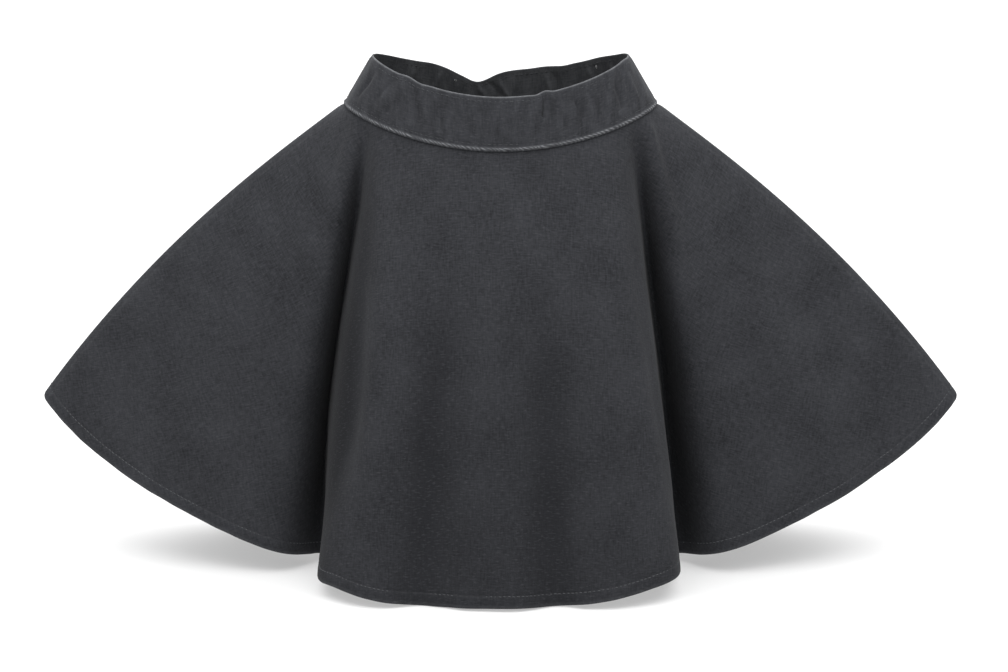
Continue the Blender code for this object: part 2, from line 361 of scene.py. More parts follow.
# How worn the cloth is at a distance from its sides and edges: (distance in mm, share) stops.
SKIRT_WEAR = {
    "from_side": ((0, 0.16), (1, 0.07), (5.6, 0.03), (7, 0.08), (8.4, 0.02), (14, 0)),
    "from_edge": ((0, 0.1), (1, 0.05), (2.2, 0), (7, 0), (8, 0.06), (9, 0)),
    "from_top":  ((0, 0), (12, 0)),
    "rope":      ((0, 0), (10, 0)),
}
BAND_WEAR = {
    "from_side": ((0, 0.22), (2, 0.14), (8, 0.12), (16, 0)),
    "from_edge": ((0, 0.1), (0.6, 0.16), (2.2, 0.12), (2.8, 0), (8, 0)),
    "from_top":  ((0, 0.55), (0.3, 0.4), (0.8, 0.04), (2.4, 0)),
    "rope":      ((0, 0.5), (0.3, 1), (1.4, 1), (2, 0), (4, 0)),
}

# How one cloth differs from the other. clouds: how long its faded patches are, across and down, in mm.
# cloud_share: how much they count for. inside_dark and inside_light: its inner side's threads, painted light
# on the band, paler than its outside, and on the skirt a little darker, for less fading and painted shade.
SKIRT_LOOK = {
    "wear": SKIRT_WEAR, "clouds": (34, 46), "cloud_share": 0.3,
    "inside_dark": (0.014, 0.015, 0.017), "inside_light": (0.036, 0.038, 0.042),
}
BAND_LOOK = {
    "wear": BAND_WEAR, "clouds": (8, 22), "cloud_share": 0.45,
    "inside_dark": (0.034, 0.0357, 0.0391), "inside_light": (0.095, 0.098, 0.104),
}

# Painted shade: the cloth is painted darker where shade falls, in troughs, folds and lower panels. place and
# down: where its middle lies, as for the pushes. share: how much darker it is painted there.
PAINTED_SHADE_COLUMNS = ("place", "place_spread", "down", "down_spread", "share")
FRONT_PAINTED_SHADES = {
    "left trough":    (-1.35, 0.45, 0.72, 0.36, 0.5),
    "right trough":   (0.92, 0.38, 0.74, 0.36, 0.45),
    "lower panel":    (0, 3.4, 0.86, 0.42, 0.38),
    "left fold wall": (-4.7, 0.9, 0.66, 0.5, 1),
    "left fold":      (-6.2, 1.3, 0.8, 0.42, 0.9),
    "right fold":     (6, 1.4, 0.8, 0.45, 0.9),
}
BACK_PAINTED_SHADES = {
    "left trough":  (-1, 0.42, 0.76, 0.34, 0.42),
    "right trough": (1.25, 0.45, 0.72, 0.36, 0.48),
    "lower panel":  (0, 3.2, 0.88, 0.4, 0.34),
    "left fold":    (-5.6, 1.1, 0.6, 0.5, 0.6),
    "right fold":   (5.4, 1, 0.64, 0.5, 0.65),
}

# Lights, floor and camera.
WORLD_STRENGTH = 0.12
LIGHT_TARGET_HEIGHT = -0.2
LIGHT_COLUMNS = ("azimuth", "elevation", "distance", "width", "height", "power", "target_out")
STUDIO_LIGHTS = {
    "left_softbox":  (-40, 46, 2.3, 1.7, 1.7, 17.5, 0),
    "right_softbox": (40, 46, 2.3, 1.7, 1.7, 17.5, 0),
    "top_softbox":   (180, 84, 3, 6, 6, 300, 0),
    "sweep_light":   (0, 90, 3, 8, 6, 420, 6.4),
}
FLOOR_HALF_WIDTH = 40.0
FLOOR_HEIGHT = -0.3652
FLOOR_WHITE = (0.46, 0.46, 0.46)
FLOOR_GLOW = 0.42
CAMERA_PLACE = (0.0026, -2.25, 0.334)
CAMERA_DOWNWARD = 13.3
SENSOR_WIDTH = 36.0
FOCAL_PIXELS = 3016.0
PHOTO_WIDTH = 1008.0


def rows_of(table, columns):
    """The rows of a table, with each number by its column's name."""
    return [dict(zip(columns, row)) for row in table.values()]


def ring_of_stations():
    """The stations of both panels in one closed ring, from the left side seam round the front."""
    rows = []
    for table, middle, face in ((FRONT_STATIONS, -90.0, -1), (BACK_STATIONS, 90.0, 1)):
        stations = rows_of(table, STATION_COLUMNS)
        rows += [station_row(station, middle, -1, face) for station in stations[:0:-1]]
        rows += [station_row(station, middle, 1, face) for station in stations[:-1]]
    return np.array(rows)


def station_row(station, middle, way, face):
    """One place on the ring: its turn round the waist, its hem point, its bow and its tuck."""
    turn = middle + way * station["turn"]
    across = -way * face * station["across"] * MM
    out = face * station["out"] * MM
    return (turn, across, out, -station["drop"] * MM, station["bow"] * MM, face * station["tuck"] * MM)


RING = ring_of_stations()
QUARTER = len(RING) // 4


def smooth_ring(places):
    """The ring's columns at places counted in stations, on a smooth closed curve."""
    places = np.asarray(places, float)
    base = np.floor(places).astype(int)
    part = places - base
    weights = (
        (1 - part) ** 3 / 6,
        (3 * part ** 3 - 6 * part ** 2 + 4) / 6,
        (-3 * part ** 3 + 3 * part ** 2 + 3 * part + 1) / 6,
        part ** 3 / 6,
    )
    total = np.zeros(places.shape + (RING.shape[1],))
    for offset, weight in zip((-1, 0, 1, 2), weights):
        laps, index = np.divmod(base + offset, len(RING))
        rows = RING[index]
        rows[..., 0] += 360.0 * laps
        total += weight[..., None] * rows
    return total


def buckle(turn):
    """How far the buckled place lowers the band's top edge at a turn."""
    away = (turn - BUCKLE_TURN + 180.0) % 360.0 - 180.0
    return BUCKLE_DEPTH * np.exp(-(away / BUCKLE_SPREAD) ** 2)


def band_face(turn, down):
    """Points of the face that the band lies on: turn in degrees, down from 0 (top) to 1 (seam)."""
    angle = np.radians(turn)
    half_width = TOP_HALF_WIDTH + (SEAM_HALF_WIDTH - TOP_HALF_WIDTH) * down
    half_depth = TOP_HALF_DEPTH + (SEAM_HALF_DEPTH - TOP_HALF_DEPTH) * down
    top_dip = np.where(np.sin(angle) < 0, FRONT_TOP_DIP, BACK_TOP_DIP)
    dip = (top_dip + (SEAM_DIP - top_dip) * down) * np.sin(angle) ** 2
    height = BAND_RISE * (0.5 - down) - dip - buckle(turn) * (1 - down)
    return np.stack([half_width * np.cos(angle), half_depth * np.sin(angle), height], -1)


def skirt_face(places, downs):
    """Points of the skirt's outside on a grid: downs from 0 (seam) to 1 (hem), below 0 behind the band."""
    ring = smooth_ring(places)[None, :, :]
    down = np.asarray(downs, float)[:, None]
    turn = ring[..., 0] + 0 * down
    start = band_face(turn, 1.0)
    end = ring[..., 1:4]
    chord = end - start
    along = unit(chord)
    outward = np.stack([np.cos(np.radians(turn)), np.sin(np.radians(turn)), 0 * turn], -1)
    swell = unit(outward - along * (outward * along).sum(-1, keepdims=True))
    bow = (ring[..., 4] * 4 * down * (1 - down))[..., None]
    points = start + chord * down[..., None] + swell * bow
    points[..., 1] -= ring[..., 5] * TUCK_PEAK * np.clip(down, 0, 1) ** TUCK_START * (1 - down) ** 2
    behind_band = band_face(turn, 1 + np.minimum(down, 0))
    return np.where(down[..., None] < 0, behind_band, points)


def unit(vectors):
    """The same vectors, one metre long."""
    return vectors / np.maximum(np.linalg.norm(vectors, axis=-1, keepdims=True), 1e-12)


def grid_normals(points):
    """Outward unit normals of a grid whose rows run down and whose columns run left to right."""
    lower = np.gradient(points, axis=0)
    across = np.gradient(points, axis=1)
    return unit(np.cross(lower, across))


def arc_across(points):
    """How far along the cloth each grid point lies from its row's middle column, in metres."""
    steps = np.linalg.norm(np.diff(points, axis=1), axis=-1)
    arc = np.concatenate([np.zeros((len(points), 1)), np.cumsum(steps, axis=1)], axis=1)
    middle = points.shape[1] // 2
    return arc - arc[:, middle:middle + 1]


def distance_from_sides(arc):
    """How far along the cloth each grid point lies from the nearer side seam, in metres."""
    return np.minimum(arc - arc[:, :1], arc[:, -1:] - arc)


def smooth_step(value):
    """0 below 0, 1 above 1, and a smooth rise between."""
    value = np.clip(value, 0.0, 1.0)
    return value * value * (3 - 2 * value)


def bell(distance, spread):
    """1 in the middle of a soft bell and about a third at its spread."""
    return np.exp(-(distance / spread) ** 2)


def soft_waves(across, down, size, seed):
    """An uneven wavy surface from about -1 to 1, with waves about as long as size."""
    chance = np.random.default_rng(seed)
    total = np.zeros(np.broadcast(across, down).shape)
    for heading in chance.uniform(0, 2 * np.pi, 7):
        length = size * chance.uniform(0.7, 1.6)
        shift = chance.uniform(0, 2 * np.pi)
        total += np.sin((across * math.cos(heading) + down * math.sin(heading)) * 2 * np.pi / length + shift)
    return total / 3.5


def crease_relief(table, offsets, arc, downs):
    """How far the creases of a table move the cloth outward, in metres.

    offsets: where each column lies, counted from the panel's middle as the table counts.
    """
    relief = np.zeros_like(arc)
    for number, crease in enumerate(rows_of(table, CREASE_COLUMNS)):
        share = np.clip((downs - crease["from_down"]) / (crease["to_down"] - crease["from_down"]), 0, 1)
        places = crease["from_place"] + (crease["to_place"] - crease["from_place"]) * share
        centre = np.array([np.interp(place, offsets, line) for place, line in zip(places, arc)])
        centre += CREASE_WANDER * np.sin(2 * np.pi * (share * 1.3 + number * 0.37)) * crease["width"] * MM
        fade = smooth_step(share / CREASE_FADE)
        if crease["to_down"] < 1.0:
            fade = fade * smooth_step((1 - share) / CREASE_FADE)
        profile = bell(arc - centre[:, None], crease["width"] * MM)
        relief -= crease["depth"] * MM * fade[:, None] * profile
    return relief


def spot_share(spot, offsets, downs):
    """How much a table's spot counts at each grid point: 1 in its middle, and less round it."""
    across = bell(offsets - spot["place"], spot["place_spread"])
    return across[None, :] * bell(downs - spot["down"], spot["down_spread"])[:, None]


def pushed(points, offsets, downs, table, face_way):
    """The cloth after the soft pushes of a table."""
    points = points.copy()
    for push in rows_of(table, PUSH_COLUMNS):
        share = spot_share(push, offsets, downs)
        points[..., 0] -= face_way * push["right"] * MM * share
        points[..., 1] += face_way * push["forward"] * MM * share
        points[..., 2] -= push["lower"] * MM * share
    return points


def round_tips(points, sides, downs):
    """Draw the hem up where it meets the side seams, so that its corners are round."""
    upward = unit(points[-TIP_ROWS] - points[-1])
    near = np.clip(1 - sides[-1] / TIP_RADIUS, 0, 1)
    draw = TIP_RADIUS * (1 - np.sqrt(1 - near ** 2))
    reach = np.clip(downs, 0, 1)[:, None] ** TIP_FADE
    return points + upward[None] * (draw[None, :] * reach)[..., None]


def hip_relief(sides, downs):
    """The hips' swell at the side seams, just below the waistband."""
    below = np.clip(downs, 0, 1)[:, None]
    rise = smooth_step(below / HIP_SWELL_START) * np.exp(-below / HIP_SWELL_END)
    return HIP_SWELL * rise * bell(sides, HIP_SWELL_SPREAD)


def seam_relief(sides):
    """The low ridge of the pressed turning beside a side seam, and the groove at the seam itself."""
    ridge = 1 - smooth_step((sides - SEAM_RIDGE_WIDTH) / SEAM_RIDGE_FALL + 0.5)
    return SEAM_RIDGE_HEIGHT * ridge - SEAM_GROOVE_DEPTH * bell(sides, SEAM_GROOVE_WIDTH)


def hem_relief(arc, heights, seed):
    """The rolled edge of the hem, the dip along its stitches and small puckers between them."""
    heights = heights[:, None]
    roll = np.clip(1 - ((heights - HEM_TURN_UP / 2) / (HEM_TURN_UP / 2)) ** 2, 0, 1)
    dip = bell(heights - HEM_TURN_UP, HEM_DIP_WIDTH)
    zone = np.clip(1 - heights / HEM_PUCKER_REACH, 0, 1)
    puckers = soft_waves(arc, heights * 0.6 + arc * 0.25, HEM_PUCKER_LENGTH, seed)
    return HEM_ROLL_HEIGHT * roll - HEM_DIP_DEPTH * dip + HEM_PUCKER_HEIGHT * zone * puckers


def pull_back_sides(points):
    """Move the first and last column in a little, so that the side seams stay just apart."""
    points = points.copy()
    for edge, inner in ((0, 1), (-1, -2)):
        points[:, edge] += unit(points[:, inner] - points[:, edge]) * SIDE_SEAM_GAP / 2
    return points


def rounded_edge(outer, inner, toward):
    """Rows that round off an edge between an outer and an inner row, for each side."""
    centre = (outer + inner) / 2
    radius = (outer - inner) / 2
    reach = unit(toward) * np.linalg.norm(radius, axis=-1, keepdims=True)
    angles = np.radians(EDGE_ANGLES)[:, None, None]
    side = radius * np.cos(angles)
    rise = reach * np.sin(angles)
    return centre + side + rise, centre - side + rise


def with_rounded_edges(outer, inner):
    """The two sides of a shell, with extra rows that round off its top and bottom edges."""
    top_out, top_in = rounded_edge(outer[0], inner[0], outer[0] - outer[1])
    low_out, low_in = rounded_edge(outer[-1], inner[-1], outer[-1] - outer[-2])
    return np.concatenate([top_out[::-1], outer, low_out]), np.concatenate([top_in[::-1], inner, low_in])


def padded_rows(values):
    """A grid of values with its first and last rows repeated for the rounded edges."""
    extra = len(EDGE_ANGLES)
    return np.concatenate([values[:1]] * extra + [values] + [values[-1:]] * extra)


def shell_faces(rows, columns):
    """Quads of a closed shell: the outer grid's points come first, then the inner grid's."""
    count = rows * columns
    index = np.arange(count).reshape(rows, columns)
    corners = (index[:-1, :-1], index[1:, :-1], index[1:, 1:], index[:-1, 1:])
    outer_quads = np.stack(corners, -1).reshape(-1, 4)
    quads = [outer_quads, outer_quads[:, [0, 3, 2, 1]] + count]
    edges = (
        (index[0, 1:], index[0, :-1]),
        (index[-1, :-1], index[-1, 1:]),
        (index[:-1, 0], index[1:, 0]),
        (index[1:, -1], index[:-1, -1]),
    )
    for start, end in edges:
        quads.append(np.stack([end, start, start + count, end + count], -1))
    return np.concatenate(quads)


def add_object(name, data):
    """A new object in the scene."""
    added = bpy.data.objects.new(name, data)
    bpy.context.scene.collection.objects.link(added)
    return added


def mesh_object(name, points, faces, material):
    """An object from points and lists of faces, shaded smooth."""
    mesh = bpy.data.meshes.new(name)
    mesh.from_pydata(points.tolist(), [], faces)
    mesh.shade_smooth()
    mesh.materials.append(material)
    return add_object(name, mesh)


def set_on_points(piece, name, values, kind="FLOAT", field="value"):
    """Store a number, or a vector, on each point for the material to read."""
    attribute = piece.data.attributes.new(name, kind, "POINT")
    attribute.data.foreach_set(field, np.asarray(values, np.float32).ravel())


def cloth_shell(name, outer, inner, flat, readings, material):
    """A closed cloth shell. flat: where its points lie on the flat cloth. readings: grids of numbers."""
    outer, inner = with_rounded_edges(outer, inner)
    rows, columns = outer.shape[:2]
    points = np.concatenate([outer.reshape(-1, 3), inner.reshape(-1, 3)])
    piece = mesh_object(name, points, shell_faces(rows, columns).tolist(), material)
    flat = padded_rows(flat).reshape(-1, 2)
    flat = np.concatenate([flat, flat + INNER_CLOTH_SHIFT])
    flat = np.concatenate([flat, np.zeros((len(flat), 1))], axis=1)
    set_on_points(piece, "flat", flat, "FLOAT_VECTOR", "vector")
    for reading, values in readings.items():
        values = padded_rows(values).ravel()
        set_on_points(piece, reading, np.concatenate([values, values]))
    set_on_points(piece, "inside", np.repeat((0.0, 1.0), rows * columns))
    return piece


def skirt_places(first_place):
    """The skirt shell's columns, counted in stations, closer together beside the side seams."""
    middle = np.linspace(1, 2 * QUARTER - 1, (2 * QUARTER - 2) * SKIRT_STEPS_PER_STATION + 1)
    side = np.linspace(0, 1, SIDE_STEPS + 1)[:-1]
    return first_place + np.concatenate([side, middle, 2 * QUARTER - side[::-1]])


def skirt_downs():
    """How far down each row of a skirt shell lies, from behind the band to the hem."""
    lap = np.linspace(-BAND_LAP / BAND_LENGTH, 0, 5)[:-1]
    zone = EDGE_ZONE / SKIRT_LENGTH
    body_rows = round((SKIRT_LENGTH - EDGE_ZONE) / SKIRT_ROW_STEP)
    edge_rows = round(EDGE_ZONE / EDGE_ROW_STEP)
    body = np.linspace(0, 1 - zone, body_rows + 1)[:-1]
    return np.concatenate([lap, body, np.linspace(1 - zone, 1, edge_rows + 1)])


def painted_shade(offsets, downs, table):
    """How much painted shade darkens each grid point, from 0 to 1, by the rows of a table."""
    total = np.zeros((len(downs), len(offsets)))
    for fade in rows_of(table, PAINTED_SHADE_COLUMNS):
        total += fade["share"] * spot_share(fade, offsets, downs)
    return np.minimum(total, 1.0)


def skirt_grids(first_place, face_way, creases, pushes, seed):
    """The outer and inner grids of half of the skirt, with its rows, arcs and sizes."""
    places = skirt_places(first_place)
    downs = skirt_downs()
    heights = (1 - downs) * SKIRT_LENGTH
    face = skirt_face(places, downs)
    arc = arc_across(face)
    offsets = places - first_place - QUARTER
    face = pushed(face, offsets, downs, pushes, face_way)
    sides = distance_from_sides(arc)
    face = round_tips(face, sides, downs)
    free = smooth_step(downs / WAIST_CALM)[:, None]
    relief = crease_relief(creases, offsets, arc, downs)
    relief += CLOTH_WAVE_HEIGHT * soft_waves(arc, heights[:, None], CLOTH_WAVE_LENGTH, seed)
    relief += hem_relief(arc, heights, seed + 1)
    relief *= smooth_step(sides / SIDE_CALM) * free
    relief += hip_relief(sides, downs) + seam_relief(sides) * free
    outer = face + grid_normals(face) * relief[..., None]
    hem_share = smooth_step((HEM_TURN_UP - heights) / HEM_STEP_WIDTH + 0.5)
    thickness = SKIRT_CLOTH + (HEM_CLOTH - SKIRT_CLOTH) * hem_share
    inner = outer - grid_normals(outer) * thickness[:, None, None]
    return pull_back_sides(outer), pull_back_sides(inner), downs, arc


def flat_sector(arc, downs):
    """Where a skirt panel's points lie on its flat cut, a sector of a ring, in metres."""
    radius = (WAIST_RADIUS + downs * SKIRT_LENGTH)[:, None]
    angle = arc / radius
    return np.stack([radius * np.sin(angle), -radius * np.cos(angle)], -1)


def cloth_readings(arc, downs, length, rope, painted_darkening):
    """What the material reads on a grid: distances in mm, the ridge's twist and its painted shade."""
    heights = (1 - downs)[:, None] * length + 0 * arc
    return {
        "from_side": distance_from_sides(arc) / MM,
        "from_edge": heights / MM,
        "from_top": (length - heights) / MM,
        "rope": rope,
        "painted_shade": painted_darkening,
    }


def skirt_shell(name, grids, first_place, painted_shade_rows, material):
    """Half of the skirt, from one side seam to the other, as a closed shell."""
    outer, inner, downs, arc = grids
    offsets = skirt_places(first_place) - first_place - QUARTER
    # The painted shade darkens the skirt where shade falls, in its folds, troughs and lower panels.
    readings = cloth_readings(arc, downs, SKIRT_LENGTH, 0 * arc, painted_shade(offsets, downs, painted_shade_rows))
    return cloth_shell(name, outer, inner, flat_sector(arc, downs), readings, material)


def band_downs():
    """How far down each row of a band shell lies, closer together near its lower edge."""
    zone = RIDGE_ZONE / BAND_LENGTH
    upper = np.linspace(0, 1 - zone, BAND_UPPER_ROWS + 1)[:-1]
    return np.concatenate([upper, np.linspace(1 - zone, 1, BAND_RIDGE_ROWS + 1)])


def raise_top_edge(face, offsets, downs, bumps):
    """Lift or lower short stretches of the band's top edge."""
    face = face.copy()
    for bump in rows_of(bumps, BUMP_COLUMNS):
        share = bell(offsets - bump["turn"], bump["spread"])
        face[..., 2] += bump["rise"] * MM * share[None, :] * ((1 - downs) ** 2)[:, None]
    return face


def rope_share(arc, heights, seed):
    """How full the twisted ridge is at each point, from 0 in its grooves to 1 on its strands."""
    uneven = soft_waves(arc, heights, BAND_WAVE_LENGTH, seed)
    turns = (arc + RIDGE_SLANT * heights) / RIDGE_TWIST + 0.5 * uneven
    strands = 0.5 + 0.5 * np.cos(2 * np.pi * turns)
    return strands ** STRAND_SHARPNESS * np.clip(0.75 + 0.4 * uneven, 0.25, 1.0)


def stitched_relief(arc, heights, seed):
    """The dips along the waistband's two rows of stitches, and the puckers above the lower one."""
    top_row = bell(heights - BAND_LENGTH + TOP_STITCH_DOWN, STITCH_DIP_WIDTH)
    low_row = bell(heights - SEAM_STITCH_UP, STITCH_DIP_WIDTH)
    zone = bell(heights - BAND_PUCKER_UP, BAND_PUCKER_REACH)
    puckers = zone * soft_waves(arc, heights, BAND_PUCKER_LENGTH, seed)
    return BAND_PUCKER_HEIGHT * puckers - STITCH_DIP * (top_row + low_row)


def band_grids(first_place, middle_turn, creases, bumps, seed):
    """The outer and inner grids of half of the waistband, lapped over the skirt's top edge."""
    places = first_place + np.arange(2 * QUARTER * BAND_STEPS_PER_STATION + 1) / BAND_STEPS_PER_STATION
    turns = smooth_ring(places)[:, 0]
    offsets = turns - middle_turn
    downs = band_downs()
    face = band_face(turns[None, :] + 0 * downs[:, None], downs[:, None])
    face = raise_top_edge(face, offsets, downs, bumps)
    arc = arc_across(face)
    heights = (1 - downs)[:, None] * BAND_LENGTH + 0 * arc
    sides = distance_from_sides(arc)
    relief = crease_relief(creases, offsets, arc, downs)
    relief += BAND_WAVE_HEIGHT * soft_waves(arc, heights * BAND_WAVE_STRETCH, BAND_WAVE_LENGTH, seed)
    relief *= smooth_step(sides / SIDE_CALM) * (1 - BAND_SEAM_CALM * bell(heights, BAND_CALM_REACH))
    relief = np.maximum(relief, -BAND_SINK * smooth_step(heights / BAND_LAP - 1) - BAND_TOUCH)
    inner = face + grid_normals(face) * (GAP + relief)[..., None]
    rope = rope_share(arc, heights, seed + 1)
    ridge = RIDGE_HEIGHT * bell(heights - RIDGE_CENTRE, RIDGE_SPREAD)
    ridge *= RIDGE_GROOVES + (1 - RIDGE_GROOVES) * rope
    full = smooth_step((BAND_LENGTH - heights) / BAND_TOP_ZONE)
    thickness = BAND_TOP_CLOTH + (BAND_CLOTH - BAND_TOP_CLOTH) * full
    thickness += ridge + stitched_relief(arc, heights, seed + 2) + seam_relief(sides) * 0.6
    outer = inner + grid_normals(inner) * thickness[..., None]
    return pull_back_sides(outer), pull_back_sides(inner), downs, arc, rope


def band_shell(name, grids, material):
    """Half of the waistband as a closed shell."""
    outer, inner, downs, arc, rope = grids
    readings = cloth_readings(arc, downs, BAND_LENGTH, rope, 0 * arc)
    flat = np.stack([arc, -downs[:, None] * BAND_LENGTH + 0 * arc], -1)
    return cloth_shell(name, outer, inner, flat, readings, material)


def line_on_cloth(outer, downs, down):
    """The points and outward normals of the line that lies at one height of a grid."""
    row = np.interp(down, downs, np.arange(len(downs)))
    base = min(int(row), len(downs) - 2)
    part = row - base
    normals = grid_normals(outer)
    points = outer[base] * (1 - part) + outer[base + 1] * part
    return points, unit(normals[base] * (1 - part) + normals[base + 1] * part)


def line_down_cloth(outer, arc, downs, across, from_down, to_down):
    """The points and outward normals of a short line down the cloth."""
    column = int(np.interp(across, arc[0], np.arange(arc.shape[1])))
    wanted = np.linspace(from_down, to_down, 9)
    rows = np.rint(np.interp(wanted, downs, np.arange(len(downs)))).astype(int)
    return outer[rows, column], grid_normals(outer)[rows, column]


def along_line(values, arc, wanted):
    """Values of a line's points, read at other distances along it."""
    columns = [np.interp(wanted, arc, values[:, axis]) for axis in range(3)]
    return np.stack(columns, -1)


def length_along(line):
    """How far along a line each of its points lies, in metres."""
    steps = np.linalg.norm(np.diff(line, axis=0), axis=-1)
    return np.concatenate([[0.0], np.cumsum(steps)])


def stitch_points(line, normals, pitch, seed):
    """Rings of points round each short stitch that lies along a line."""
    arc = length_along(line)
    chance = np.random.default_rng(seed)
    count = max(round(arc[-1] / pitch), 1)
    centres = (np.arange(count) + 0.5 + chance.uniform(-0.06, 0.06, count)) * arc[-1] / count
    lengths = arc[-1] / count * STITCH_SHOWN * chance.uniform(0.86, 1.1, count)
    share = np.linspace(-0.5, 0.5, THREAD_RINGS)
    wanted = centres[:, None] + lengths[:, None] * share
    places = along_line(line, arc, wanted)
    out = unit(along_line(normals, arc, wanted))
    forward = unit(np.gradient(places, axis=1))
    side = np.cross(forward, out)
    tilt = (share * STITCH_TILT + chance.uniform(-0.1, 0.1, (count, 1)) * MM)[..., None]
    full = np.cos(share * np.pi) ** 0.5
    swing = np.sin(centres / STITCH_SWING) * np.sin(centres / STITCH_SWING * 1.55 + 1.0)
    sunk = STITCH_SUNK * np.clip(swing + chance.uniform(0.0, 0.6, count), 0, 1)[:, None]
    rise = THREAD_RADIUS * (1.7 * full - 0.9) - sunk
    width = THREAD_RADIUS * (0.5 + 0.5 * full)
    centre = places + out * rise[..., None] + side * tilt
    angles = np.arange(THREAD_SIDES) * 2 * np.pi / THREAD_SIDES
    round_out = np.cos(angles)[:, None] * out[:, :, None] + np.sin(angles)[:, None] * side[:, :, None]
    return centre[:, :, None] + round_out * width[None, :, None, None]


def stitch_faces(count):
    """The faces of all stitches, closed at both ends."""
    index = np.arange(count * THREAD_RINGS * THREAD_SIDES).reshape(count, THREAD_RINGS, THREAD_SIDES)
    around = np.roll(index, -1, axis=2)
    quads = np.stack([index[:, :-1], around[:, :-1], around[:, 1:], index[:, 1:]], -1).reshape(-1, 4)
    starts = index[:, 0, ::-1]
    ends = index[:, -1]
    return quads.tolist() + starts.tolist() + ends.tolist()


def stitches(name, lines, pitch, material):
    """Real stitches along several lines on the cloth, as one object."""
    groups = [stitch_points(line, normals, pitch, seed) for seed, (line, normals) in enumerate(lines)]
    points = np.concatenate(groups)
    return mesh_object(name, points.reshape(-1, 3), stitch_faces(len(points)), material)


def trimmed(line):
    """A line of points and normals without its last few millimetres at both ends."""
    points, normals = line
    arc = length_along(points)
    kept = (arc > STITCH_END_GAP) & (arc < arc[-1] - STITCH_END_GAP)
    return points[kept], normals[kept]


def inner_line(outer, inner, downs, down):
    """The line on a shell's inner face, with normals that point away from the cloth."""
    points = line_on_cloth(inner, downs, down)[0]
    across = line_on_cloth(outer, downs, down)[0] - points
    return points, -unit(across)


def hem_stitches(name, grids, material):
    """The stitches that hold the hem's turning, as they show outside and inside."""
    outer, inner, downs = grids[:3]
    down = 1 - HEM_TURN_UP / SKIRT_LENGTH
    lines = [line_on_cloth(outer, downs, down), inner_line(outer, inner, downs, down)]
    return stitches(name, [trimmed(line) for line in lines], HEM_STITCH_PITCH, material)


def band_stitches(name, grids, material):
    """The two rows of stitches round the waistband, as they show outside and inside."""
    outer, inner, downs = grids[:3]
    lines = []
    for down in (TOP_STITCH_DOWN / BAND_LENGTH, 1 - SEAM_STITCH_UP / BAND_LENGTH):
        lines.append(trimmed(line_on_cloth(outer, downs, down)))
        if down < 0.5:
            lines.append(trimmed(inner_line(outer, inner, downs, down)))
    return stitches(name, lines, BAND_STITCH_PITCH, material)


def band_tacks(name, grids, material):
    """Small bars of thread on the inside of the back waistband."""
    outer, inner, downs, arc = grids[:4]
    lines = []
    for tack in rows_of(TACKS, TACK_COLUMNS):
        for strand in (-1, 0, 1):
            across = (tack["across"] + strand * TACK_STRAND_STEP) * MM
            place = (across, tack["from_down"], tack["to_down"])
            points, normals = line_down_cloth(inner, arc, downs, *place)
            lines.append((points, -normals))
    return stitches(name, lines, TACK_LENGTH, material)


def value_node(tree, operation, *inputs):
    """A node that works out a number from sockets or numbers."""
    node = tree.nodes.new("ShaderNodeMath")
    node.operation = operation
    for socket, value in zip(node.inputs, inputs):
        if isinstance(value, bpy.types.NodeSocket):
            tree.links.new(value, socket)
        else:
            socket.default_value = value
    return node.outputs["Value"]


def reading(tree, name, output="Fac"):
    """A number, or a vector, stored on the cloth's points."""
    node = tree.nodes.new("ShaderNodeAttribute")
    node.attribute_name = name
    return node.outputs[output]


def noise(tree, places, across, down, detail=2.0, low=0.3, high=0.7):
    """Noise from 0 to 1, as long as across and down say, in millimetres."""
    scale = tree.nodes.new("ShaderNodeVectorMath")
    scale.operation = "MULTIPLY"
    scale.inputs[1].default_value = (1 / (across * MM), 1 / (down * MM), 1)
    tree.links.new(places, scale.inputs[0])
    texture = tree.nodes.new("ShaderNodeTexNoise")
    texture.inputs["Scale"].default_value = 1.0
    texture.inputs["Detail"].default_value = detail
    tree.links.new(scale.outputs["Vector"], texture.inputs["Vector"])
    spread = tree.nodes.new("ShaderNodeMapRange")
    spread.inputs["From Min"].default_value = low
    spread.inputs["From Max"].default_value = high
    tree.links.new(texture.outputs["Fac"], spread.inputs["Value"])
    return spread.outputs["Result"]


def ramp(tree, value, stops):
    """A number that follows a short table of (millimetres, share) stops."""
    last = stops[-1][0]
    node = tree.nodes.new("ShaderNodeValToRGB")
    elements = node.color_ramp.elements
    while len(elements) < len(stops):
        elements.new(0.5)
    for element, (place, share) in zip(elements, stops):
        element.position = place / last
        element.color = (share, share, share, 1)
    tree.links.new(value_node(tree, "DIVIDE", value, last), node.inputs["Fac"])
    return node.outputs["Color"]


def mixed(tree, share, first, second):
    """A colour between two colours, each of them a socket or three numbers."""
    node = tree.nodes.new("ShaderNodeMix")
    node.data_type = "RGBA"
    tree.links.new(share, node.inputs["Factor"])
    for socket, colour in ((node.inputs[6], first), (node.inputs[7], second)):
        if isinstance(colour, bpy.types.NodeSocket):
            tree.links.new(colour, socket)
        else:
            socket.default_value = (*colour, 1)
    return node.outputs[2]


def worn_share(tree, places, wear):
    """How worn the cloth is: along its edges, its seams and the strands of the twisted ridge."""
    total = ramp(tree, reading(tree, "from_side"), wear["from_side"])
    for edge in ("from_edge", "from_top"):
        total = value_node(tree, "MAXIMUM", total, ramp(tree, reading(tree, edge), wear[edge]))
    patches = noise(tree, places, WEAR_PATCH, WEAR_PATCH, 3.0)
    broken = value_node(tree, "MULTIPLY_ADD", patches, *WEAR_BREAK)
    total = value_node(tree, "MULTIPLY", total, broken)
    rope = ramp(tree, reading(tree, "from_edge"), wear["rope"])
    rope = value_node(tree, "MULTIPLY", rope, reading(tree, "rope"))
    return value_node(tree, "MINIMUM", value_node(tree, "MAXIMUM", total, rope), 1.0)


